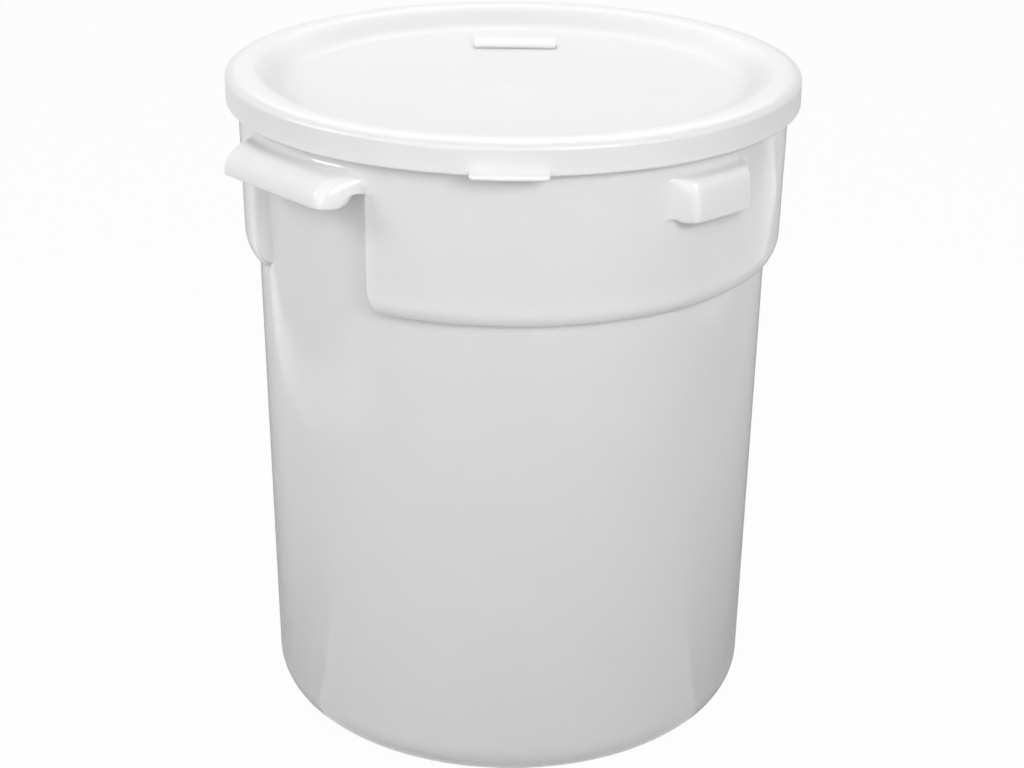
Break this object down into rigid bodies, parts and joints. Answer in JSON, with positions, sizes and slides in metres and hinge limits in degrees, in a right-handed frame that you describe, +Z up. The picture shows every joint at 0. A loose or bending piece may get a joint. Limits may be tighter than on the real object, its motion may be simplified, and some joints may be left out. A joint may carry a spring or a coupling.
{
  "type": "round food storage container",
  "caption": "Tall round food storage bin with a wide collar, long hooked lifting grips over finger recesses, small side lugs and a dished press-on lid with a pull tab.",
  "frame": {"origin": "centre of the base, on the surface that it stands on", "axes": "+Z up along the tub's axis; the two lifting grips are on the X axis and the two small lugs on the Y axis"},
  "size_m": [0.4546, 0.4386, 0.51],
  "materials": {
    "tub_white": "glossy moulded white polyethylene, slightly translucent",
    "lid_white": "satin moulded white polyethylene, glossy on the crest"
  },
  "bodies": {
    "tub": {"tub": "tub_white"},
    "lid": {"lid": "lid_white"}
  },
  "joints": [
    {"name": "lid_lift", "type": "slide", "parent": "tub", "child": "lid", "axis": [0, 0, 1], "range_m": [0, 0.2]}
  ]
}
